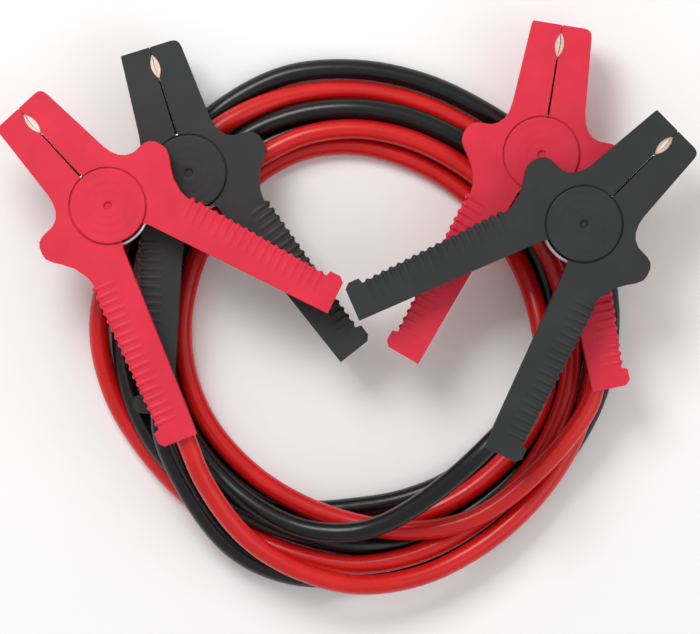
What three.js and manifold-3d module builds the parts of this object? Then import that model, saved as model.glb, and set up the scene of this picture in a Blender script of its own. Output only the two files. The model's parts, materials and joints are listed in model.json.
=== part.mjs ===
// A coiled pair of car jumper cables: two cables and four spring clamps, lying flat.
// Millimetres, +Z up, X and Y in the plane of the floor, origin at the middle of the four clamps' box.
// The clamps and the cables are placed from the point on the floor under the coil's centre.

import * as THREE from 'three';
import { mergeVertices } from 'three/addons/utils/BufferGeometryUtils.js';
import Module from 'manifold-3d';

const wasm = await Module();
wasm.setup();

// Clearances
const gap = 0.3;

// Cable
const cableDiameter = 10;
const cableSides = 10;
const hingeSides = 24;
const cableInHandle = 24;
const cableLead = 12;
const leaningLeadOffset = 1;
const straightLeadOffset = cableDiameter / 2 + 1;

// Clamp plates and hinge, measured from the clamp's middle plane
const bodyThickness = 18;
const capProud = 1;
const capRadius = 19.3;
const capDimpleRadius = 2.2;
const capDimpleDepth = 0.8;
const cheekRadius = 17;
const cheekThickness = 1.8;
const outerCheekTop = 8;
const pinRadius = 2.5;
const springOuterRadius = 21;
const springWire = 2.6;
const springHeight = 7.4;

// Lever outline, from the pivot at (0, 0), jaw towards +Y
const jawReach = 65.5;
const jawTipHalfWidth = 15;
const jawRootHalfWidth = 18.2;
const jawRootY = 24;
const jawCornerRound = 4;
const jawCornerSharp = 0.8;
const slitHalfWidth = 0.25;
const slitRootHalfWidth = 0.6;
const earReach = 40.5;
const earTopY = 10.8;
const waistX = 31.4;
const waistY = -19;
const handleLean = 21;
const handleLength = 98.5;
const handleRoot = { x: 8.8, y: -21 };
const handleRootWidth = 21.8;
const handleEndWidth = 16.2;
const flangeProud = 2.8;
const flangeLength = 8;
const handleWall = (bodyThickness - cableDiameter) / 2 - 2 * gap;
const handleEndWall = 2.5;
const gripStart = 18;
const channelStart = 16;
const channelOverrun = 6;
const squeezeAngle = 36;
const throatClearance = 1.5;

// Curves of the lever's outline
const jawRootCurve = { bendX: 1.2, bendY: 2, endX: 9, endY: 0.2 };
const earCurve = { run: 6.5, shoulder: 2, shoulderDrop: 5.5, sideDrop: 9.5, backX: 0.5, backDrop: 14 };
const waistCurve = { aboveX: 1, aboveY: 11, belowX: 0.1, belowY: 9 };
const flangeCurve = { rampLength: 1, chamferLength: 2.5, chamferRise: 0.4, endDrop: 2 };

// Contact strips and the eye near the tip
const contactThickness = 2.4;
const contactHeight = 13.2;
const contactStartY = 26;
const contactTipInset = 1.4;
const toothPitch = 3;
const toothDepth = 0.9;
const toothTipX = 0.35;
const eyeLength = 13;
const eyeHalfWidth = 2.4;
const eyeFromTip = 10;

// Where the clamps lie: each is placed by the middle of its free handle's end, from the coil's centre
const coilTop = 20.2;
const restGap = 0.3;
const clampThickness = bodyThickness + 2 * capProud;
const lowerLevel = coilTop + restGap + clampThickness / 2;
const upperLevel = lowerLevel + clampThickness + 2 * restGap;

const clamps = [
  {
    name: 'red_left', colour: 'red',
    endX: -9.98, endY: 15.46, axisAngle: 132.6,
    level: upperLevel, cableSide: -1, inward: 0,
  },
  {
    name: 'black_left', colour: 'black',
    endX: -0.79, endY: -11.07, axisAngle: 107.4,
    level: lowerLevel, cableSide: -1, inward: 0,
  },
  {
    name: 'red_right', colour: 'red',
    endX: 24.51, endY: -12.88, axisAngle: 80.8,
    level: lowerLevel, cableSide: 1, inward: 20.5,
  },
  {
    name: 'black_right', colour: 'black',
    endX: -1.14, endY: 12.01, axisAngle: 44.6,
    level: upperLevel, cableSide: 1, inward: 20.5,
  },
];

// Routes of the cables round the coil: a station every 15 degrees, anticlockwise from above
const stationStep = 15;
const redFirstStation = 225;
const redRadii = [
  107.3, 116.3, 122.7, 127.6, 127.7, 125.5, 123.8, 122.8, 121.7, 120.6, 120.0, 120.1,
  118.9, 117.4, 118.8, 120.8, 122.3, 122.9, 122.5, 124.7, 127.0, 129.0, 126.2, 121.4,
  118.4, 116.5, 116.8, 118.2, 116.9, 114.9, 113.3, 112.0, 110.8, 108.0, 105.4, 102.6,
  99.1, 98.8, 99.9, 101.1, 100.9, 99.3, 101.3, 104.2, 105.9, 107.1, 106.8, 106.2,
  106.9, 107.2, 104.8, 100.2, 98.7, 99.1, 99.6, 101.1, 99.7, 93.6, 90.4, 88.5,
  88.5, 89.1, 90.7, 93.1, 94.1, 92.9, 90.3, 88.1, 87.1, 87.1, 87.3, 87.6,
  87.9, 89.3, 92.1, 96.9, 104.3, 111.3, 116.9,
];
const redHeights = [
  45.2, 37.7, 31.3, 26.0, 21.8, 18.7, 16.8, 15.9, 14.7, 12.3, 10.0, 8.4,
  6.4, 5.3, 5.2, 5.2, 7.6, 12.0, 15.3, 15.3, 15.3, 10.1, 5.2, 5.2,
  6.8, 10.7, 14.8, 16.4, 15.8, 14.0, 14.7, 15.4, 15.8, 15.2, 14.9, 15.3,
  15.3, 14.5, 14.5, 14.6, 15.0, 15.3, 15.3, 15.3, 15.4, 15.2, 12.3, 8.7,
  5.2, 5.2, 5.2, 5.2, 7.8, 9.7, 11.1, 12.7, 15.6, 15.5, 10.9, 7.9,
  6.0, 5.2, 5.2, 5.2, 5.2, 5.2, 5.2, 6.4, 7.7, 9.2, 10.7, 12.1,
  13.4, 13.9, 15.6, 17.3, 20.2, 23.9, 25.5,
];
const blackFirstStation = 225;
const blackRadii = [
  118.1, 126.5, 127.6, 124.1, 121.5, 120.9, 121.2, 123.3, 126.5, 128.5, 129.6, 130.3,
  129.5, 128.1, 129.5, 131.5, 133.1, 130.6, 127.8, 124.1, 120.8, 117.9, 117.3, 115.8,
  111.4, 107.1, 106.3, 108.4, 110.3, 108.8, 108.5, 109.1, 110.4, 111.4, 110.3, 109.5,
  109.5, 109.4, 110.5, 111.6, 112.4, 112.6, 110.7, 109.0, 106.6, 103.1, 99.0, 96.3,
  96.3, 96.5, 93.9, 89.5, 88.7, 89.4, 90.7, 93.2, 95.8, 99.4, 99.5, 98.9,
  101.1, 104.0, 105.1, 105.8, 105.0, 103.6, 100.5, 98.4, 97.2, 96.4, 96.9, 98.3,
  99.5, 101.3, 102.7, 101.3, 97.5,
];
const blackHeights = [
  22.8, 15.4, 10.0, 7.1, 5.5, 5.2, 5.2, 5.2, 5.2, 5.2, 5.2, 5.2,
  5.2, 5.2, 5.2, 5.2, 5.2, 5.2, 5.2, 5.2, 5.7, 8.3, 10.9, 13.8,
  15.0, 15.8, 15.6, 13.2, 6.2, 5.2, 5.2, 5.2, 5.2, 5.2, 5.4, 7.0,
  11.5, 14.5, 14.5, 14.5, 12.5, 10.2, 8.1, 5.8, 5.2, 5.2, 5.2, 5.2,
  5.2, 5.2, 5.2, 5.2, 5.2, 5.2, 5.2, 5.2, 5.2, 5.2, 5.2, 5.2,
  5.2, 5.2, 5.2, 5.2, 5.2, 5.2, 5.2, 5.8, 9.9, 13.4, 15.3, 17.5,
  19.8, 24.6, 27.9, 32.1, 37.5,
];

// Materials
const materials = {
  redPlastic: { color: 0xd8303f, roughness: 0.55, metalness: 0 },
  blackPlastic: { color: 0x3a3b3c, roughness: 0.6, metalness: 0 },
  redCable: { color: 0xd42a2c, roughness: 0.3, metalness: 0 },
  blackCable: { color: 0x151515, roughness: 0.3, metalness: 0 },
  copper: { color: 0xd9a184, roughness: 0.35, metalness: 1 },
  steel: { color: 0xb9bbbe, roughness: 0.3, metalness: 1 },
};
const look = (name) => new THREE.MeshStandardMaterial(materials[name]);
const radians = THREE.MathUtils.degToRad;

// Solids
function toManifold(geometry) {
  const bare = geometry.clone();
  bare.deleteAttribute('normal');
  bare.deleteAttribute('uv');
  const merged = mergeVertices(bare, 1e-4);
  const mesh = new wasm.Mesh({
    numProp: 3,
    vertProperties: new Float32Array(merged.attributes.position.array),
    triVerts: new Uint32Array(merged.index.array),
  });
  return new wasm.Manifold(mesh);
}

function toGeometry(solid) {
  const mesh = solid.getMesh();
  const geometry = new THREE.BufferGeometry();
  geometry.setAttribute('position', new THREE.BufferAttribute(new Float32Array(mesh.vertProperties), 3));
  geometry.setIndex(new THREE.BufferAttribute(new Uint32Array(mesh.triVerts), 1));
  geometry.computeVertexNormals();
  return geometry;
}

// A plate of a plan outline between two heights
function plate(shape, bottom, top) {
  const options = { depth: top - bottom, bevelEnabled: false, curveSegments: 4 };
  const geometry = new THREE.ExtrudeGeometry(shape, options);
  geometry.translate(0, 0, bottom);
  return toManifold(geometry);
}

function disc(radius, bottom, top, sides = hingeSides) {
  const geometry = new THREE.CylinderGeometry(radius, radius, top - bottom, sides);
  geometry.rotateX(Math.PI / 2);
  geometry.translate(0, 0, (top + bottom) / 2);
  return toManifold(geometry);
}

// A solid turned round Z from a profile of radius and height
function turned(profile) {
  const points = profile.map(([radius, height]) => new THREE.Vector2(radius, height));
  return toManifold(new THREE.LatheGeometry(points, hingeSides).rotateX(Math.PI / 2));
}

function polygon(points) {
  return new THREE.Shape(points.map(([x, y]) => new THREE.Vector2(x, y)));
}

// Heights of the hinge's layers, from the middle plane outwards
const half = bodyThickness / 2;
const outerCheek = { low: outerCheekTop - cheekThickness, high: outerCheekTop };
const innerCheek = { low: outerCheek.low - gap - cheekThickness, high: outerCheek.low - gap };
const springHalf = springHeight / 2;

// Handle directions
const along = { x: Math.sin(radians(handleLean)), y: -Math.cos(radians(handleLean)) };
const outward = { x: -along.y, y: along.x };
function onHandle(distance, offset) {
  return [
    handleRoot.x + along.x * distance + outward.x * offset,
    handleRoot.y + along.y * distance + outward.y * offset,
  ];
}
function widthAt(distance) {
  return THREE.MathUtils.lerp(handleRootWidth, handleEndWidth, distance / handleLength);
}

// The throat below the disc, set back so that the levers clear each other when squeezed
const throatAngle = radians(squeezeAngle / 2 + throatClearance);

// Outline of one lever, on side +1 or -1 of the clamp's axis
function leverShape(side) {
  const corner = side > 0 ? jawCornerRound : jawCornerSharp;
  const p = (x, y) => [side * x, y];
  const shape = new THREE.Shape();
  const flangeStart = handleLength - flangeLength;
  shape.moveTo(...p(slitHalfWidth, jawReach));
  shape.lineTo(...p(jawTipHalfWidth - corner, jawReach));
  const tipFlare = (jawRootHalfWidth - jawTipHalfWidth) / (jawReach - jawRootY);
  shape.quadraticCurveTo(
    ...p(jawTipHalfWidth, jawReach),
    ...p(jawTipHalfWidth + corner * tipFlare, jawReach - corner),
  );
  shape.lineTo(...p(jawRootHalfWidth, jawRootY));
  shape.quadraticCurveTo(
    ...p(jawRootHalfWidth + jawRootCurve.bendX, earTopY + jawRootCurve.bendY),
    ...p(jawRootHalfWidth + jawRootCurve.endX, earTopY + jawRootCurve.endY),
  );
  shape.lineTo(...p(earReach - earCurve.run, earTopY));
  shape.bezierCurveTo(
    ...p(earReach - earCurve.shoulder, earTopY),
    ...p(earReach, earTopY - earCurve.shoulderDrop),
    ...p(earReach, earTopY - earCurve.sideDrop),
  );
  shape.bezierCurveTo(
    ...p(earReach - earCurve.backX, earTopY - earCurve.backDrop),
    ...p(waistX + waistCurve.aboveX, waistY + waistCurve.aboveY),
    ...p(waistX, waistY),
  );
  shape.quadraticCurveTo(
    ...p(waistX + waistCurve.belowX, waistY - waistCurve.belowY),
    ...p(...onHandle(gripStart, widthAt(gripStart))),
  );
  shape.lineTo(...p(...onHandle(flangeStart - flangeCurve.rampLength, widthAt(flangeStart))));
  shape.lineTo(...p(...onHandle(flangeStart, widthAt(flangeStart) + flangeProud)));
  const flangeTop = handleEndWidth + flangeProud;
  shape.lineTo(...p(...onHandle(handleLength - flangeCurve.chamferLength, flangeTop + flangeCurve.chamferRise)));
  shape.lineTo(...p(...onHandle(handleLength, flangeTop - flangeCurve.endDrop)));
  shape.lineTo(...p(...onHandle(handleLength, 0)));
  shape.lineTo(...p(handleRoot.x, handleRoot.y));
  shape.lineTo(...p(cheekRadius * Math.sin(throatAngle), -cheekRadius * Math.cos(throatAngle)));
  shape.lineTo(...p(slitRootHalfWidth, -cheekRadius / 2));
  shape.lineTo(...p(slitRootHalfWidth, jawRootY));
  shape.closePath();
  return shape;
}

// The hollow that makes the handle a channel, open towards the other handle
function handleChannel(side, endOpen) {
  const start = channelStart;
  const end = endOpen ? handleLength + channelOverrun : handleLength - handleEndWall;
  const outerWall = (distance) => widthAt(Math.min(distance, handleLength)) - handleWall;
  const corners = [
    onHandle(start, -channelOverrun),
    onHandle(start, outerWall(start)),
    onHandle(end, outerWall(end)),
    onHandle(end, -channelOverrun),
  ];
  const shape = polygon(corners.map(([x, y]) => [side * x, y]));
  return plate(shape, -half + handleWall, half - handleWall);
}

function eyeOpening() {
  const middle = jawReach - eyeFromTip;
  const shape = new THREE.Shape();
  shape.moveTo(0, middle - eyeLength / 2);
  shape.quadraticCurveTo(2 * eyeHalfWidth, middle, 0, middle + eyeLength / 2);
  shape.quadraticCurveTo(-2 * eyeHalfWidth, middle, 0, middle - eyeLength / 2);
  return plate(shape, -half - 1, half + 1);
}

function contactSlot(side) {
  const depth = toothTipX + contactThickness + gap;
  const corners = [
    [-side, contactStartY - gap],
    [side * depth, contactStartY - gap],
    [side * depth, jawReach - contactTipInset + gap],
    [-side, jawReach - contactTipInset + gap],
  ];
  return plate(polygon(corners), -contactHeight / 2 - gap, contactHeight / 2 + gap);
}

// The lever on the cable's side has the outer pair of cheeks, the free one the inner pair
function lever(side, hasCable) {
  const own = hasCable ? outerCheek : innerCheek;
  let solid = plate(leverShape(side), -half, half);
  const room = cheekRadius + gap;
  if (hasCable) {
    solid = solid.subtract(disc(room, -outerCheek.low, outerCheek.low));
  } else {
    solid = solid.subtract(disc(room, -innerCheek.low, innerCheek.low));
    solid = solid.subtract(disc(room, innerCheek.high, half + 1));
    solid = solid.subtract(disc(room, -half - 1, -innerCheek.high));
  }
  solid = solid.subtract(disc(springOuterRadius + gap, -springHalf - gap, springHalf + gap));
  solid = solid.add(disc(cheekRadius, own.low, own.high));
  solid = solid.add(disc(cheekRadius, -own.high, -own.low));
  solid = solid.subtract(disc(capRadius + gap, outerCheekTop, half + 1));
  solid = solid.subtract(disc(capRadius + gap, -half - 1, -outerCheekTop));
  solid = solid.subtract(disc(pinRadius + gap, -half - 1, half + 1, 16));
  solid = solid.subtract(handleChannel(side, hasCable));
  solid = solid.subtract(contactSlot(side));
  return solid.subtract(eyeOpening());
}

// A toothed strip along the jaw's inner face
function contactStrip(side) {
  const tipY = jawReach - contactTipInset;
  const teeth = Math.floor((tipY - contactStartY) / toothPitch);
  const points = [
    [toothTipX + contactThickness, contactStartY],
    [toothTipX + contactThickness, tipY],
    [toothTipX + toothDepth, tipY],
  ];
  for (let tooth = 0; tooth < teeth; tooth += 1) {
    const top = tipY - tooth * toothPitch;
    points.push([toothTipX, top - toothPitch / 2]);
    points.push([toothTipX + toothDepth, top - toothPitch]);
  }
  points.push([toothTipX + toothDepth, contactStartY]);
  const clean = points.filter(([x, y], i) => i === 0 || x !== points[i - 1][0] || y !== points[i - 1][1]);
  return plate(polygon(clean.map(([x, y]) => [side * x, y])), -contactHeight / 2, contactHeight / 2);
}

// A round cover over the hinge, with a dimple at its centre
function pivotCap() {
  const low = outerCheekTop + gap;
  const high = half + capProud;
  const profile = [
    [0, low],
    [capRadius, low],
    [capRadius, high],
    [capDimpleRadius, high],
    [capDimpleRadius, high - capDimpleDepth],
    [0, high - capDimpleDepth],
  ];
  return turned(profile);
}

function springCoil() {
  const inner = springOuterRadius - springWire;
  const profile = [
    [inner, -springHalf],
    [springOuterRadius, -springHalf],
    [springOuterRadius, springHalf],
    [inner, springHalf],
    [inner, -springHalf],
  ];
  return turned(profile);
}

// Clamp assembly
function nodeMesh(name, solid, material) {
  const mesh = new THREE.Mesh(toGeometry(solid), look(material));
  mesh.name = name;
  return mesh;
}

// The clamp's turn and its pivot's place, from where its free handle ends
function placeOf({ endX, endY, axisAngle, level, cableSide }) {
  const turn = radians(axisAngle - 90);
  const [reachX, reachY] = onHandle(handleLength, handleEndWidth / 2);
  const arm = new THREE.Vector3(-cableSide * reachX, reachY, 0).applyAxisAngle(new THREE.Vector3(0, 0, 1), turn);
  return { turn, pivot: new THREE.Vector3(endX, endY, level).sub(arm) };
}

function buildClamp(clamp) {
  const { name, colour, cableSide } = clamp;
  const { turn, pivot } = placeOf(clamp);
  const plastic = colour === 'red' ? 'redPlastic' : 'blackPlastic';
  const group = new THREE.Group();
  group.position.copy(pivot);
  group.rotation.z = turn;
  const topCap = nodeMesh(`${name}_top_cap`, pivotCap(), plastic);
  const bottomCap = nodeMesh(`${name}_bottom_cap`, pivotCap(), plastic);
  bottomCap.rotation.x = Math.PI;
  group.add(
    nodeMesh(`${name}_cable_lever`, lever(cableSide, true), plastic),
    nodeMesh(`${name}_free_lever`, lever(-cableSide, false), plastic),
    topCap,
    bottomCap,
    nodeMesh(`${name}_pin`, disc(pinRadius, -outerCheekTop, outerCheekTop, 16), 'steel'),
    nodeMesh(`${name}_spring`, springCoil(), 'steel'),
    nodeMesh(`${name}_cable_contact`, contactStrip(cableSide), 'copper'),
    nodeMesh(`${name}_free_contact`, contactStrip(-cableSide), 'copper'),
  );
  return group;
}

// Cable ends: inside the handle's channel, at the handle's end, and a short way out of it
function leadPoints(clamp) {
  const { cableSide, inward } = clamp;
  const { turn, pivot } = placeOf(clamp);
  const exit = onHandle(handleLength, inward > 0 ? leaningLeadOffset : straightLeadOffset);
  const lean = radians(handleLean - inward);
  const direction = { x: Math.sin(lean), y: -Math.cos(lean) };
  return [-cableInHandle, 0, cableLead].map((distance) => {
    const px = cableSide * (exit[0] + direction.x * distance);
    const py = exit[1] + direction.y * distance;
    return new THREE.Vector3(px, py, 0).applyAxisAngle(new THREE.Vector3(0, 0, 1), turn).add(pivot);
  });
}

// The cable's centreline, sampled at its own points
class Route extends THREE.CatmullRomCurve3 {
  getUtoTmapping(u) {
    return u;
  }
}

function buildCable(name, material, start, firstStation, radii, heights, end) {
  const points = [...leadPoints(start)];
  radii.forEach((radius, i) => {
    const angle = radians(firstStation + i * stationStep);
    points.push(new THREE.Vector3(radius * Math.cos(angle), radius * Math.sin(angle), heights[i]));
  });
  points.push(...leadPoints(end).reverse());
  const section = new THREE.Shape();
  for (let side = 0; side < cableSides; side += 1) {
    const angle = (side / cableSides) * 2 * Math.PI;
    const px = (cableDiameter / 2) * Math.cos(angle);
    const py = (cableDiameter / 2) * Math.sin(angle);
    if (side === 0) section.moveTo(px, py);
    else section.lineTo(px, py);
  }
  section.closePath();
  const geometry = new THREE.ExtrudeGeometry(section, { steps: points.length - 1, extrudePath: new Route(points) });
  return nodeMesh(name, toManifold(geometry), material);
}

const [redLeft, blackLeft, redRight, blackRight] = clamps;
const jumperCables = new THREE.Group();
jumperCables.add(...clamps.map(buildClamp));
jumperCables.updateMatrixWorld(true);
const clampsMiddle = new THREE.Box3().setFromObject(jumperCables, true).getCenter(new THREE.Vector3());
jumperCables.position.copy(clampsMiddle).negate();
jumperCables.add(buildCable('red_cable', 'redCable', redLeft, redFirstStation, redRadii, redHeights, redRight));
jumperCables.add(
  buildCable('black_cable', 'blackCable', blackLeft, blackFirstStation, blackRadii, blackHeights, blackRight),
);

export default jumperCables;
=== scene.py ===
import json
import math

import bmesh
import bpy
from mathutils import Matrix, Vector


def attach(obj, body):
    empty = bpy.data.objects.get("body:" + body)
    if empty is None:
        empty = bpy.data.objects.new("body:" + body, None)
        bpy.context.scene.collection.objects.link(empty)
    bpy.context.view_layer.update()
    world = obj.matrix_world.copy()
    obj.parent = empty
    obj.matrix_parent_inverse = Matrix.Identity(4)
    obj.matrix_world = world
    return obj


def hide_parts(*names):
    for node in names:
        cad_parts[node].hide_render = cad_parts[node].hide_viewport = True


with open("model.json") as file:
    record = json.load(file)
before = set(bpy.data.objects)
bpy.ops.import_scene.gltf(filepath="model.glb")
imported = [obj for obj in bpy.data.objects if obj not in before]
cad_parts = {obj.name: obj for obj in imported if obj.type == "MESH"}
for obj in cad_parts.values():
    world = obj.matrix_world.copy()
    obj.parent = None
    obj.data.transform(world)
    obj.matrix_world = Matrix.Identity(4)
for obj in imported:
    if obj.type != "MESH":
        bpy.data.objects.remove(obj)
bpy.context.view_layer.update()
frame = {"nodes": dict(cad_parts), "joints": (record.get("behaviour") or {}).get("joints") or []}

# Sizes, in metres
CABLE_DIAMETER = 0.010
CABLE_IN_HANDLE = 0.024
CABLE_LEAD = 0.012
LEANING_LEAD_OFFSET = 0.001
STRAIGHT_LEAD_OFFSET = CABLE_DIAMETER / 2 + 0.001
STATION_STEP = math.radians(15)
FIRST_STATION = math.radians(225)
BODY_THICKNESS = 0.018
CAP_PROUD = 0.001
CAP_RADIUS = 0.0187
CHEEK_TOP = 0.008
HANDLE_LEAN = math.radians(21)
HANDLE_LENGTH = 0.0985
HANDLE_ROOT = (0.0088, -0.021)
HANDLE_ROOT_WIDTH = 0.0218
HANDLE_END_WIDTH = 0.0162
FLANGE_LENGTH = 0.008
JAW_REACH = 0.0655
EDGE_ROUND = 0.0009
STRIP_ROUND = 0.00025

# Each clamp: how its axis points, which side its cable is on, and how far the cable leans inwards
CLAMPS = {
    "red_left": {"axis": 132.6, "cable_side": -1, "inward": 0.0},
    "black_left": {"axis": 107.4, "cable_side": -1, "inward": 0.0},
    "red_right": {"axis": 80.8, "cable_side": 1, "inward": 20.5},
    "black_right": {"axis": 44.6, "cable_side": 1, "inward": 20.5},
}
PIVOTS = {
    joint["name"].replace("_squeeze", ""): Vector(joint["pos_m"]) for joint in frame["joints"]
}

# The upper left red clamp's pivot, from the coil's centre on the floor
RED_LEFT_PIVOT = Vector((-0.1225, 0.0615, 0.0511))
COIL_CENTRE = PIVOTS["red_left"] - RED_LEFT_PIVOT

# Radius and height of each cable's turns, a station every 15 degrees, anticlockwise from above
RED_RADII = [
    0.1073, 0.1163, 0.1227, 0.1276, 0.1277, 0.1255, 0.1238, 0.1228, 0.1217, 0.1206, 0.1200, 0.1201,
    0.1189, 0.1174, 0.1188, 0.1208, 0.1223, 0.1229, 0.1225, 0.1247, 0.1270, 0.1290, 0.1262, 0.1214,
    0.1184, 0.1165, 0.1168, 0.1182, 0.1169, 0.1149, 0.1133, 0.1120, 0.1108, 0.1080, 0.1054, 0.1026,
    0.0991, 0.0988, 0.0999, 0.1011, 0.1009, 0.0993, 0.1013, 0.1042, 0.1059, 0.1071, 0.1068, 0.1062,
    0.1069, 0.1072, 0.1048, 0.1002, 0.0987, 0.0991, 0.0996, 0.1011, 0.0997, 0.0936, 0.0904, 0.0885,
    0.0885, 0.0891, 0.0907, 0.0931, 0.0941, 0.0929, 0.0903, 0.0881, 0.0871, 0.0871, 0.0873, 0.0876,
    0.0879, 0.0893, 0.0921, 0.0969, 0.1043, 0.1113, 0.1169,
]
RED_HEIGHTS = [
    0.0452, 0.0377, 0.0313, 0.0260, 0.0218, 0.0187, 0.0168, 0.0159, 0.0147, 0.0123, 0.0100, 0.0084,
    0.0064, 0.0053, 0.0052, 0.0052, 0.0076, 0.0120, 0.0153, 0.0153, 0.0153, 0.0101, 0.0052, 0.0052,
    0.0068, 0.0107, 0.0148, 0.0164, 0.0158, 0.0140, 0.0147, 0.0154, 0.0158, 0.0152, 0.0149, 0.0153,
    0.0153, 0.0145, 0.0145, 0.0146, 0.0150, 0.0153, 0.0153, 0.0153, 0.0154, 0.0152, 0.0123, 0.0087,
    0.0052, 0.0052, 0.0052, 0.0052, 0.0078, 0.0097, 0.0111, 0.0127, 0.0156, 0.0155, 0.0109, 0.0079,
    0.0060, 0.0052, 0.0052, 0.0052, 0.0052, 0.0052, 0.0052, 0.0064, 0.0077, 0.0092, 0.0107, 0.0121,
    0.0134, 0.0139, 0.0156, 0.0173, 0.0202, 0.0239, 0.0255,
]
BLACK_RADII = [
    0.1181, 0.1265, 0.1276, 0.1241, 0.1215, 0.1209, 0.1212, 0.1233, 0.1265, 0.1285, 0.1296, 0.1303,
    0.1295, 0.1281, 0.1295, 0.1315, 0.1331, 0.1306, 0.1278, 0.1241, 0.1208, 0.1179, 0.1173, 0.1158,
    0.1114, 0.1071, 0.1063, 0.1084, 0.1103, 0.1088, 0.1085, 0.1091, 0.1104, 0.1114, 0.1103, 0.1095,
    0.1095, 0.1094, 0.1105, 0.1116, 0.1124, 0.1126, 0.1107, 0.1090, 0.1066, 0.1031, 0.0990, 0.0963,
    0.0963, 0.0965, 0.0939, 0.0895, 0.0887, 0.0894, 0.0907, 0.0932, 0.0958, 0.0994, 0.0995, 0.0989,
    0.1011, 0.1040, 0.1051, 0.1058, 0.1050, 0.1036, 0.1005, 0.0984, 0.0972, 0.0964, 0.0969, 0.0983,
    0.0995, 0.1013, 0.1027, 0.1013, 0.0975,
]
BLACK_HEIGHTS = [
    0.0228, 0.0154, 0.0100, 0.0071, 0.0055, 0.0052, 0.0052, 0.0052, 0.0052, 0.0052, 0.0052, 0.0052,
    0.0052, 0.0052, 0.0052, 0.0052, 0.0052, 0.0052, 0.0052, 0.0052, 0.0057, 0.0083, 0.0109, 0.0138,
    0.0150, 0.0158, 0.0156, 0.0132, 0.0062, 0.0052, 0.0052, 0.0052, 0.0052, 0.0052, 0.0054, 0.0070,
    0.0115, 0.0145, 0.0145, 0.0145, 0.0125, 0.0102, 0.0081, 0.0058, 0.0052, 0.0052, 0.0052, 0.0052,
    0.0052, 0.0052, 0.0052, 0.0052, 0.0052, 0.0052, 0.0052, 0.0052, 0.0052, 0.0052, 0.0052, 0.0052,
    0.0052, 0.0052, 0.0052, 0.0052, 0.0052, 0.0052, 0.0052, 0.0058, 0.0099, 0.0134, 0.0153, 0.0175,
    0.0198, 0.0246, 0.0279, 0.0321, 0.0375,
]


def spot(name, x, y, z=0.0):
    """A point of a clamp, from its pivot with the jaw towards +Y, in the row frame."""
    turn = Matrix.Rotation(math.radians(CLAMPS[name]["axis"] - 90), 3, "Z")
    return PIVOTS[name] + turn @ Vector((x, y, z))


def on_handle(distance, offset):
    """A point of the right handle: along it from its root, and outwards from its inner edge."""
    along = (math.sin(HANDLE_LEAN), -math.cos(HANDLE_LEAN))
    outward = (math.cos(HANDLE_LEAN), math.sin(HANDLE_LEAN))
    return (
        HANDLE_ROOT[0] + along[0] * distance + outward[0] * offset,
        HANDLE_ROOT[1] + along[1] * distance + outward[1] * offset,
    )


def handle_width(distance):
    """The handle's width at a distance from its root."""
    return HANDLE_ROOT_WIDTH + (HANDLE_END_WIDTH - HANDLE_ROOT_WIDTH) * distance / HANDLE_LENGTH


# Camera: straight above the middle of the photograph
PIXEL = 0.0005
PHOTO_SIZE = (700, 634)
COIL_PIXEL = (355, 330)
CAMERA_HEIGHT = 3.0
SHARP_HEIGHT = 0.032
SENSOR = 0.036
MM_PER_METRE = 1000


def make_camera():
    """A long lens far above, so that high and low pieces are drawn at nearly one scale."""
    x = (PHOTO_SIZE[0] / 2 - COIL_PIXEL[0]) * PIXEL
    y = (COIL_PIXEL[1] - PHOTO_SIZE[1] / 2) * PIXEL
    data = bpy.data.cameras.new("camera")
    data.sensor_width = SENSOR * MM_PER_METRE
    data.lens = SENSOR * MM_PER_METRE * CAMERA_HEIGHT / (PHOTO_SIZE[0] * PIXEL)
    camera = bpy.data.objects.new("camera", data)
    camera.location = COIL_CENTRE + Vector((x, y, SHARP_HEIGHT + CAMERA_HEIGHT))
    bpy.context.scene.collection.objects.link(camera)
    bpy.context.scene.camera = camera


# Materials
FLOOR_DARK = (0.93, 0.93, 0.93)
FLOOR_LIGHT = (0.95, 0.95, 0.95)
PLASTIC_ROUGHNESS = 0.5
SCUFF_STRETCH = (1, 5, 1)
STREAKS = (1, 1, 6)


def principled(name):
    """A new material with its nodes, links and shader."""
    material = bpy.data.materials.new(name)
    material.use_nodes = True
    nodes = material.node_tree.nodes
    return material, nodes, material.node_tree.links, nodes["Principled BSDF"]


def coordinates(nodes, links, stretch=(1, 1, 1)):
    """Places on the piece, in metres, finer along a stretched axis."""
    place = nodes.new("ShaderNodeTexCoord")
    mapping = nodes.new("ShaderNodeMapping")
    mapping.inputs["Scale"].default_value = stretch
    links.new(place.outputs["Object"], mapping.inputs["Vector"])
    return mapping.outputs["Vector"]


def noise(nodes, links, vector, scale, detail):
    """Noise from 0 to 1 at these places."""
    texture = nodes.new("ShaderNodeTexNoise")
    texture.inputs["Scale"].default_value = scale
    texture.inputs["Detail"].default_value = detail
    links.new(vector, texture.inputs["Vector"])
    return texture.outputs["Fac"]


def ramp(nodes, links, value, low, high):
    """A colour ramp between two (position, colour) stops."""
    node = nodes.new("ShaderNodeValToRGB")
    for element, (position, colour) in zip(node.color_ramp.elements, (low, high)):
        element.position = position
        element.color = (*colour, 1)
    links.new(value, node.inputs["Fac"])
    return node.outputs["Color"]


def spread(nodes, links, value, low, high):
    """A value from 0 to 1, spread from low to high."""
    node = nodes.new("ShaderNodeMapRange")
    node.inputs["To Min"].default_value = low
    node.inputs["To Max"].default_value = high
    links.new(value, node.inputs["Value"])
    return node.outputs["Result"]


def bump(nodes, links, height, strength, distance, after=None):
    """A normal that follows a relief, on top of another one where that is given."""
    node = nodes.new("ShaderNodeBump")
    node.inputs["Strength"].default_value = strength
    node.inputs["Distance"].default_value = distance
    links.new(height, node.inputs["Height"])
    if after is not None:
        links.new(after, node.inputs["Normal"])
    return node.outputs["Normal"]


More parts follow.
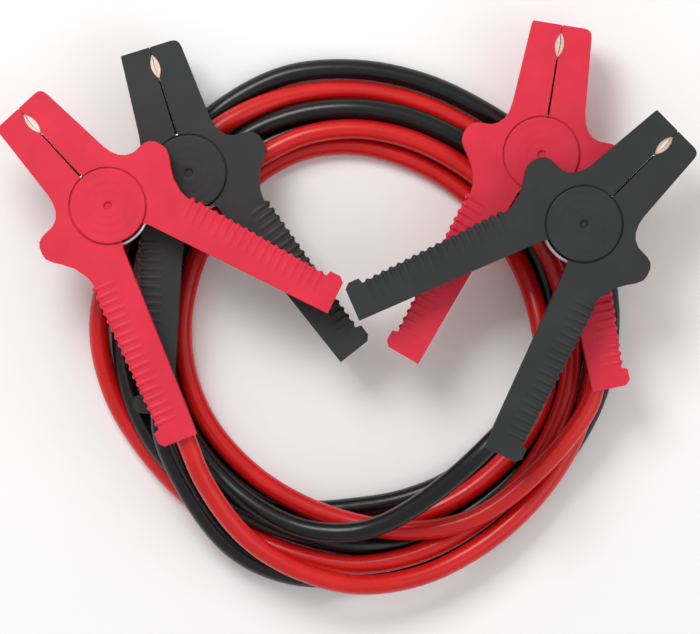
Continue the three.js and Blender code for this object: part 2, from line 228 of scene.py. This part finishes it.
def moulded_plastic(name, dark, light, roughness):
    """Matte moulded plastic: a fine spark-eroded grain, soft blotches and faint scuffs."""
    material, nodes, links, shader = principled(name)
    place = coordinates(nodes, links)
    blotches = noise(nodes, links, place, scale=60, detail=4)
    links.new(ramp(nodes, links, blotches, (0.3, dark), (0.7, light)), shader.inputs["Base Color"])
    scuffs = noise(nodes, links, coordinates(nodes, links, SCUFF_STRETCH), scale=140, detail=6)
    shine = spread(nodes, links, scuffs, low=roughness - 0.1, high=roughness + 0.12)
    links.new(shine, shader.inputs["Roughness"])
    spark_marks = noise(nodes, links, place, scale=2600, detail=2)
    grain = bump(nodes, links, spark_marks, strength=0.25, distance=0.00012)
    waves = noise(nodes, links, place, scale=90, detail=2)
    wavy = bump(nodes, links, waves, strength=0.12, distance=0.0006, after=grain)
    links.new(wavy, shader.inputs["Normal"])
    shader.inputs["Specular IOR Level"].default_value = 0.4
    return material


def sheath(name, dark, light):
    """Glossy soft cable sheath with a faint waviness and fine handling marks."""
    material, nodes, links, shader = principled(name)
    place = coordinates(nodes, links)
    blotches = noise(nodes, links, place, scale=35, detail=3)
    links.new(ramp(nodes, links, blotches, (0.3, dark), (0.7, light)), shader.inputs["Base Color"])
    marks = noise(nodes, links, place, scale=420, detail=5)
    links.new(spread(nodes, links, marks, low=0.2, high=0.42), shader.inputs["Roughness"])
    waves = noise(nodes, links, place, scale=110, detail=2)
    waviness = bump(nodes, links, waves, strength=0.25, distance=0.0008)
    links.new(waviness, shader.inputs["Normal"])
    shader.inputs["Specular IOR Level"].default_value = 0.32
    shader.inputs["Coat Weight"].default_value = 0.15
    shader.inputs["Coat Roughness"].default_value = 0.15
    return material


def metal(name, dark, light, low, high, streaks):
    """Metal with directional streaks and a slight tarnish."""
    material, nodes, links, shader = principled(name)
    tarnish = noise(nodes, links, coordinates(nodes, links), scale=300, detail=4)
    links.new(ramp(nodes, links, tarnish, (0.3, dark), (0.75, light)), shader.inputs["Base Color"])
    lines = noise(nodes, links, coordinates(nodes, links, streaks), scale=900, detail=3)
    links.new(spread(nodes, links, lines, low, high), shader.inputs["Roughness"])
    relief = bump(nodes, links, lines, strength=0.15, distance=0.0001)
    links.new(relief, shader.inputs["Normal"])
    shader.inputs["Metallic"].default_value = 1
    return material


def plain_floor():
    """Pale matte paper with hardly any mottling."""
    material, nodes, links, shader = principled("floor_paper")
    mottle = noise(nodes, links, coordinates(nodes, links), scale=8, detail=2)
    shades = ramp(nodes, links, mottle, (0.2, FLOOR_DARK), (0.8, FLOOR_LIGHT))
    links.new(shades, shader.inputs["Base Color"])
    shader.inputs["Roughness"].default_value = 0.9
    return material


LOOKS = {
    "red_plastic": moulded_plastic(
        "red_plastic", (0.64, 0.010, 0.036), (0.72, 0.015, 0.047), PLASTIC_ROUGHNESS
    ),
    "black_plastic": moulded_plastic(
        "black_plastic", (0.0135, 0.0145, 0.0150), (0.0195, 0.0205, 0.021), PLASTIC_ROUGHNESS
    ),
    "red_cable": sheath("red_cable", (0.56, 0.006, 0.006), (0.66, 0.010, 0.009)),
    "black_cable": sheath("black_cable", (0.0030, 0.0030, 0.0034), (0.0055, 0.0055, 0.006)),
    "copper": metal("copper", (0.86, 0.56, 0.42), (0.98, 0.80, 0.70), 0.25, 0.45, STREAKS),
    "steel": metal("steel", (0.5, 0.5, 0.52), (0.72, 0.72, 0.74), 0.2, 0.4, STREAKS),
}


def dress(piece, slot, body, *replaced):
    """Gives a new piece the material named by its slot, hangs it on its body's empty and hides the
    solids it stands for.
    """
    piece.data.materials.clear()
    piece.data.materials.append(LOOKS[slot])
    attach(piece, body)
    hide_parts(*replaced)


def new_object(name, mesh):
    """A new object in the scene."""
    piece = bpy.data.objects.new(name, mesh)
    bpy.context.scene.collection.objects.link(piece)
    return piece


def solid_mesh(name, verts, faces):
    """A closed mesh whose faces all look outwards."""
    mesh = bpy.data.meshes.new(name)
    mesh.from_pydata(verts, [], faces)
    shape = bmesh.new()
    shape.from_mesh(mesh)
    bmesh.ops.recalc_face_normals(shape, faces=shape.faces)
    shape.to_mesh(mesh)
    shape.free()
    return mesh


def join_into(piece, *meshes):
    """Adds other meshes to a piece's own."""
    joined = bmesh.new()
    for mesh in (piece.data, *meshes):
        joined.from_mesh(mesh)
    joined.to_mesh(piece.data)
    joined.free()


def round_wire(name, line, diameter, resolution):
    """A round wire or cable along a line, closed at both ends."""
    curve = bpy.data.curves.new(name, "CURVE")
    curve.dimensions = "3D"
    curve.bevel_depth = diameter / 2
    curve.bevel_resolution = resolution
    curve.use_fill_caps = True
    spline = curve.splines.new("POLY")
    spline.points.add(len(line) - 1)
    for point, place in zip(spline.points, line):
        point.co = (*place, 1)
    spline.use_smooth = True
    return new_object(name, curve)


# Cables: points for each span of the route, and how softly and how far the ends bend
SPAN_STEPS = 6
END_SOFTENING = 24
END_REACH = 5
END_WEIGHT = 0.5
CABLE_RESOLUTION = 6


def lead_points(name):
    """Inside the handle, at its end, and a short way out of it."""
    clamp = CLAMPS[name]
    inward = math.radians(clamp["inward"])
    offset = LEANING_LEAD_OFFSET if inward > 0 else STRAIGHT_LEAD_OFFSET
    x, y = on_handle(HANDLE_LENGTH, offset)
    lean = HANDLE_LEAN - inward
    points = []
    for distance in (-CABLE_IN_HANDLE, 0, CABLE_LEAD):
        px = x + math.sin(lean) * distance
        py = y - math.cos(lean) * distance
        points.append(spot(name, clamp["cable_side"] * px, py))
    return points


def smooth(points):
    """The points of one smooth curve through the route's points."""
    line = []
    for i in range(len(points) - 1):
        before = points[max(i - 1, 0)]
        after = points[min(i + 2, len(points) - 1)]
        start, end = points[i], points[i + 1]
        leave = (end - before) / 2
        arrive = (after - start) / 2
        for step in range(SPAN_STEPS):
            t = step / SPAN_STEPS
            line.append(
                start * (2 * t**3 - 3 * t**2 + 1)
                + leave * (t**3 - 2 * t**2 + t)
                + end * (3 * t**2 - 2 * t**3)
                + arrive * (t**3 - t**2)
            )
    line.append(points[-1])
    # The ends bend softly where they leave the handles, and this fades out towards the coil
    count = len(line)
    first, last = SPAN_STEPS + 1, END_REACH * SPAN_STEPS
    for _ in range(END_SOFTENING):
        for i in range(first, last):
            ease = min(1.0, 2 * (last - i) / (last - first))
            fade = END_WEIGHT * ease**2
            for k in (i, count - 1 - i):
                line[k] = line[k] * (1 - fade) + (line[k - 1] + line[k + 1]) * (fade / 2)
    return line


def make_cable(colour, radii, heights):
    """One cable, from inside the left clamp's handle round the coil into the right clamp's."""
    node = f"{colour}_cable"
    points = lead_points(f"{colour}_left")
    for i, (radius, height) in enumerate(zip(radii, heights)):
        angle = FIRST_STATION + i * STATION_STEP
        x, y = radius * math.cos(angle), radius * math.sin(angle)
        points.append(COIL_CENTRE + Vector((x, y, height)))
    points += reversed(lead_points(f"{colour}_right"))
    line = smooth(points)
    piece = round_wire(f"{node}_sheath", line, CABLE_DIAMETER, CABLE_RESOLUTION)
    dress(piece, node, "coil_side", node)


# Eye and slit between the jaws
EYE_LENGTH = 0.013
EYE_FROM_TIP = 0.010
EYE_MIDDLE = JAW_REACH - EYE_FROM_TIP
RIM_LENGTH = EYE_LENGTH - 0.0006
RIM_REACH = 0.0022
RIM_OPENING = 0.00085
RIM_OPENING_START = 0.35
RIM_LOW = 0.0052
RIM_HIGH = 0.0078
RIM_STEPS = 16
LIP_GAP = 0.00004
LIP_EDGE = 0.0006
LIP_ROOT = 0.0198
LIP_TIP = JAW_REACH - 0.0006
LIP_INSET = 0.0004
LIP_THICKNESS = 0.001

# Ribs round the outer side of each handle: (along, lift) points of their section
RIB_SECTION = [(-0.5, -1), (-0.42, 0.2), (-0.2, 0.85), (0, 1), (0.2, 0.85), (0.42, 0.2), (0.5, -1)]
RIB_PITCH = 0.0043
RIB_START = 0.0135
RIB_LAST_GAP = RIB_PITCH * 0.6
RIB_WIDTH = 0.0029
RIB_HEIGHT = 0.0009
RIB_SINK = 0.0004
RIB_REACH = 0.0105
RIB_CORNER = 0.0012
RIB_STEPS = 5
RIB_MARGIN = 0.002
RIB_FAINT = 0.1
RIB_GROWTH = 0.5

# Angles that count as flat, as an edge to round and as an edge to keep sharp
FLAT_ANGLE = math.radians(1)
ROUNDED_ANGLE = math.radians(30)
SHARP_ANGLE = math.radians(35)
CAP_SHARP_ANGLE = math.radians(50)
WELD_DISTANCE = 1e-6


def copy_of(node, name):
    """A new piece with a frame solid's own mesh."""
    mesh = frame["nodes"][node].data.copy()
    mesh.name = name
    return new_object(name, mesh)


def apply_modifiers(piece):
    """Makes what a piece's modifiers give its own mesh."""
    graph = bpy.context.evaluated_depsgraph_get()
    finished = bpy.data.meshes.new_from_object(piece.evaluated_get(graph))
    piece.modifiers.clear()
    piece.data = finished


def rounded(piece, width, segments=3):
    """Rounds every sharp edge of a flat-faced solid."""
    shape = bmesh.new()
    shape.from_mesh(piece.data)
    bmesh.ops.remove_doubles(shape, verts=shape.verts, dist=WELD_DISTANCE)
    bmesh.ops.dissolve_limit(
        shape,
        angle_limit=FLAT_ANGLE,
        verts=shape.verts,
        edges=shape.edges,
        use_dissolve_boundaries=False,
    )
    shape.to_mesh(piece.data)
    shape.free()
    bevel = piece.modifiers.new("round", "BEVEL")
    bevel.width = width
    bevel.segments = segments
    bevel.limit_method = "ANGLE"
    bevel.angle_limit = ROUNDED_ANGLE
    bevel.use_clamp_overlap = True
    bevel.miter_outer = "MITER_ARC"
    apply_modifiers(piece)


def shade(piece, angle=SHARP_ANGLE):
    """Smooth shading that keeps flat faces flat."""
    piece.data.polygons.foreach_set("use_smooth", [True] * len(piece.data.polygons))
    piece.data.set_sharp_from_angle(angle=angle)
    weighted = piece.modifiers.new("flat", "WEIGHTED_NORMAL")
    weighted.keep_sharp = True
    apply_modifiers(piece)


def rib_line(distance):
    """Round the outside of a handle: (offset, height, outward offset, outward height, size)."""
    half = BODY_THICKNESS / 2
    width = handle_width(distance)
    start = max(width - RIB_REACH, RIB_MARGIN)
    line = []
    for step in range(RIB_STEPS):
        share = step / RIB_STEPS
        offset = start + (width - RIB_CORNER - start) * share
        line.append((offset, half, 0.0, 1.0, RIB_FAINT + RIB_GROWTH * share))
    for step in range(RIB_STEPS):
        angle = math.pi / 2 * (1 - step / (RIB_STEPS - 1))
        line.append(
            (
                width - RIB_CORNER + RIB_CORNER * math.cos(angle),
                half - RIB_CORNER + RIB_CORNER * math.sin(angle),
                math.cos(angle),
                math.sin(angle),
                1.0,
            )
        )
    return line + [(o, -z, no, -nz, size) for o, z, no, nz, size in reversed(line)]


def grip_ribs(name, side):
    """The ribs across the outer side of one handle, as points and faces."""
    verts, faces = [], []
    distance = RIB_START
    while distance < HANDLE_LENGTH - FLANGE_LENGTH - RIB_LAST_GAP:
        line = rib_line(distance)
        first = len(verts)
        for offset, height, out_offset, out_height, size in line:
            for shift, lift in RIB_SECTION:
                rise = lift * RIB_HEIGHT * size if lift > 0 else -RIB_SINK
                x, y = on_handle(distance + shift * RIB_WIDTH, offset + out_offset * rise)
                verts.append(spot(name, side * x, y, height + out_height * rise))
        count = len(RIB_SECTION)
        for row in range(len(line) - 1):
            for col in range(count):
                a = first + row * count + col
                b = first + row * count + (col + 1) % count
                face = (a, b, b + count, a + count)
                faces.append(face if side > 0 else face[::-1])
        start_cap = tuple(first + col for col in range(count))
        end_cap = tuple(first + (len(line) - 1) * count + col for col in range(count))
        faces.append(start_cap[::-1] if side > 0 else start_cap)
        faces.append(end_cap if side > 0 else end_cap[::-1])
        distance += RIB_PITCH
    return verts, faces


def block_mesh(name, side, plates):
    """Flat plates of a clamp, each an outline and two heights."""
    verts, faces = [], []
    for outline, low, high in plates:
        first, count = len(verts), len(outline)
        for height in (low, high):
            verts += [spot(name, side * x, y, height) for x, y in outline]
        for i in range(count):
            j = (i + 1) % count
            faces.append((first + i, first + j, first + count + j, first + count + i))
        faces.append(tuple(range(first, first + count))[::-1])
        faces.append(tuple(range(first + count, first + 2 * count)))
    return solid_mesh("plates", verts, faces)


def slit_lips():
    """Lips that close the slit between the jaws: low down, and the full height at the tip."""
    bottom = -BODY_THICKNESS / 2 + LIP_INSET
    eye_start, eye_end = EYE_MIDDLE - EYE_LENGTH / 2, EYE_MIDDLE + EYE_LENGTH / 2
    lips = []
    for start, end, top in (
        (LIP_ROOT, eye_start, bottom + LIP_THICKNESS),
        (eye_end, LIP_TIP, -bottom),
    ):
        outline = [(LIP_GAP, start), (LIP_EDGE, start), (LIP_EDGE, end), (LIP_GAP, end)]
        lips.append((outline, bottom, top))
    return lips


def eye_rim():
    """Half of the almond-shaped rim of the eye, at the top and at the bottom of the jaw."""
    outer, inner = [], []
    for step in range(RIM_STEPS + 1):
        share = step / RIM_STEPS
        arch = 1 - (2 * share - 1) ** 2
        y = EYE_MIDDLE + (share - 0.5) * RIM_LENGTH
        outer.append((LIP_GAP + RIM_REACH * arch, y))
        inner.append((LIP_GAP + RIM_OPENING * max(arch - RIM_OPENING_START, 0), y))
    outline = outer + inner[-2:0:-1]
    return [(outline, RIM_LOW, RIM_HIGH), (outline, -RIM_HIGH, -RIM_LOW)]


def make_lever(name, which, side, body):
    """A lever with rounded edges, grip ribs and lips in the slit."""
    node = f"{name}_{which}_lever"
    piece = copy_of(node, f"{node}_moulding")
    rounded(piece, EDGE_ROUND)
    verts, faces = grip_ribs(name, side)
    ribs = bpy.data.meshes.new("ribs")
    ribs.from_pydata(verts, [], faces)
    ribs.validate()
    join_into(piece, ribs, block_mesh(name, side, slit_lips()))
    shade(piece)
    dress(piece, f"{name.split('_')[0]}_plastic", body, node)


# Hinge covers
CAP_LIFT = 0.0003
CAP_FOOT = 0.0002
CAP_ROUND = 0.0006
CAP_ROUND_STEPS = 4
CAP_STEPS = 96
RING_RADII = (0.0150, 0.0105, 0.0065)
RING_HALF_WIDTH = 0.0006
RING_DEPTH = 0.00009
DIMPLE_RADIUS = 0.0021
DIMPLE_DEPTH = 0.0026
DIMPLE_EDGE = 0.0004
DIMPLE_EDGE_DEPTH = 0.0003
DIMPLE_TAPER = 0.0001
CENTRE_RADIUS = 0.0002

# Springs
SPRING_RADIUS = 0.0198
SPRING_WIRE = 0.0024
SPRING_TURNS = 2.5
SPRING_PITCH = 0.00208
SPRING_START = -math.radians(114)
SPRING_STEPS = 48
SPRING_RESOLUTION = 4


def turned(name, profile, place, flip):
    """A solid turned round the vertical from (radius, height) points, closed on the axis."""
    verts, faces = [], []
    sign = -1 if flip else 1
    for radius, height in profile:
        for step in range(CAP_STEPS):
            angle = 2 * math.pi * step / CAP_STEPS
            x, y = radius * math.cos(angle), radius * math.sin(angle)
            verts.append(place + Vector((x, y, sign * height)))
    for row in range(len(profile) - 1):
        for step in range(CAP_STEPS):
            a = row * CAP_STEPS + step
            b = row * CAP_STEPS + (step + 1) % CAP_STEPS
            faces.append((a, b, b + CAP_STEPS, a + CAP_STEPS))
    faces.append(tuple(range(CAP_STEPS))[::-1])
    faces.append(tuple(range((len(profile) - 1) * CAP_STEPS, len(profile) * CAP_STEPS)))
    return new_object(name, solid_mesh(name, verts, faces))


def cap_profile():
    """From the rim's foot over a rounded rim, fine turned rings and a centre dimple."""
    top = BODY_THICKNESS / 2 + CAP_PROUD
    low = CHEEK_TOP + CAP_LIFT
    profile = [(CAP_RADIUS - CAP_FOOT, low), (CAP_RADIUS, low + CAP_FOOT)]
    for step in range(CAP_ROUND_STEPS + 1):
        angle = math.pi / 2 * step / CAP_ROUND_STEPS
        profile.append(
            (
                CAP_RADIUS - CAP_ROUND + CAP_ROUND * math.cos(angle),
                top - CAP_ROUND + CAP_ROUND * math.sin(angle),
            )
        )
    for ring in RING_RADII:
        profile += [
            (ring + RING_HALF_WIDTH, top),
            (ring, top - RING_DEPTH),
            (ring - RING_HALF_WIDTH, top),
        ]
    return profile + [
        (DIMPLE_RADIUS + DIMPLE_EDGE, top),
        (DIMPLE_RADIUS, top - DIMPLE_EDGE_DEPTH),
        (DIMPLE_RADIUS - DIMPLE_TAPER, top - DIMPLE_DEPTH),
        (DIMPLE_RADIUS / 2, top - DIMPLE_DEPTH),
        (CENTRE_RADIUS, top - DIMPLE_DEPTH),
    ]


def make_spring(name):
    """Turns of round wire round the hinge, between the cheeks."""
    node = f"{name}_spring"
    line = []
    steps = int(SPRING_TURNS * SPRING_STEPS)
    for step in range(steps + 1):
        share = step / steps
        angle = SPRING_START + share * SPRING_TURNS * 2 * math.pi
        height = (share - 0.5) * SPRING_TURNS * SPRING_PITCH
        x, y = SPRING_RADIUS * math.cos(angle), SPRING_RADIUS * math.sin(angle)
        line.append(spot(name, x, y, height))
    wire = round_wire(f"{node}_wire", line, SPRING_WIRE, SPRING_RESOLUTION)
    dress(wire, "steel", "coil_side", node)


def make_clamp(name):
    """Both levers, the hinge's covers, the contact strips, the pin's look and the spring."""
    side = CLAMPS[name]["cable_side"]
    free_body = f"{name}_free_side"
    plastic = f"{name.split('_')[0]}_plastic"
    make_lever(name, "cable", side, "coil_side")
    make_lever(name, "free", -side, free_body)
    for which, flip in (("top", False), ("bottom", True)):
        node = f"{name}_{which}_cap"
        cap = turned(f"{node}_cover", cap_profile(), PIVOTS[name], flip)
        shade(cap, CAP_SHARP_ANGLE)
        dress(cap, plastic, "coil_side", node)
    for which, body, own_side in (("cable", "coil_side", side), ("free", free_body, -side)):
        node = f"{name}_{which}_contact"
        strip = copy_of(node, f"{node}_strip")
        rounded(strip, STRIP_ROUND, 2)
        join_into(strip, block_mesh(name, own_side, eye_rim()))
        shade(strip)
        dress(strip, "copper", body, node)
    pin = frame["nodes"][f"{name}_pin"]
    pin.data.materials.clear()
    pin.data.materials.append(LOOKS["steel"])
    make_spring(name)


# Floor and light: each lamp's place from the coil's centre, its size and its power
FLOOR_REACH = 4.0
SKY_STRENGTH = 0.6
LAMPS = {
    "key": {"place": (-0.45, 0.75, 1.2), "size": 0.6, "power": 11},
    "fill": {"place": (0.9, -0.3, 1.0), "size": 1.0, "power": 3},
}


def make_studio():
    """A plain pale floor under soft light."""
    corners = [(-1, -1), (1, -1), (1, 1), (-1, 1)]
    places = [(x * FLOOR_REACH, y * FLOOR_REACH, COIL_CENTRE.z) for x, y in corners]
    mesh = bpy.data.meshes.new("floor")
    mesh.from_pydata(places, [], [(0, 1, 2, 3)])
    floor = new_object("floor", mesh)
    floor.data.materials.append(plain_floor())
    world = bpy.data.worlds.new("studio")
    world.use_nodes = True
    background = world.node_tree.nodes["Background"]
    background.inputs["Color"].default_value = (1, 1, 1, 1)
    background.inputs["Strength"].default_value = SKY_STRENGTH
    bpy.context.scene.world = world
    bpy.context.scene.view_settings.view_transform = "Standard"
    for name, lamp in LAMPS.items():
        data = bpy.data.lights.new(name, "AREA")
        data.size = lamp["size"]
        data.energy = lamp["power"]
        light = bpy.data.objects.new(name, data)
        light.location = COIL_CENTRE + Vector(lamp["place"])
        light.rotation_euler = (COIL_CENTRE - light.location).to_track_quat("-Z", "Y").to_euler()
        bpy.context.scene.collection.objects.link(light)


make_camera()
make_cable("red", RED_RADII, RED_HEIGHTS)
make_cable("black", BLACK_RADII, BLACK_HEIGHTS)
for clamp_name in CLAMPS:
    make_clamp(clamp_name)
make_studio()
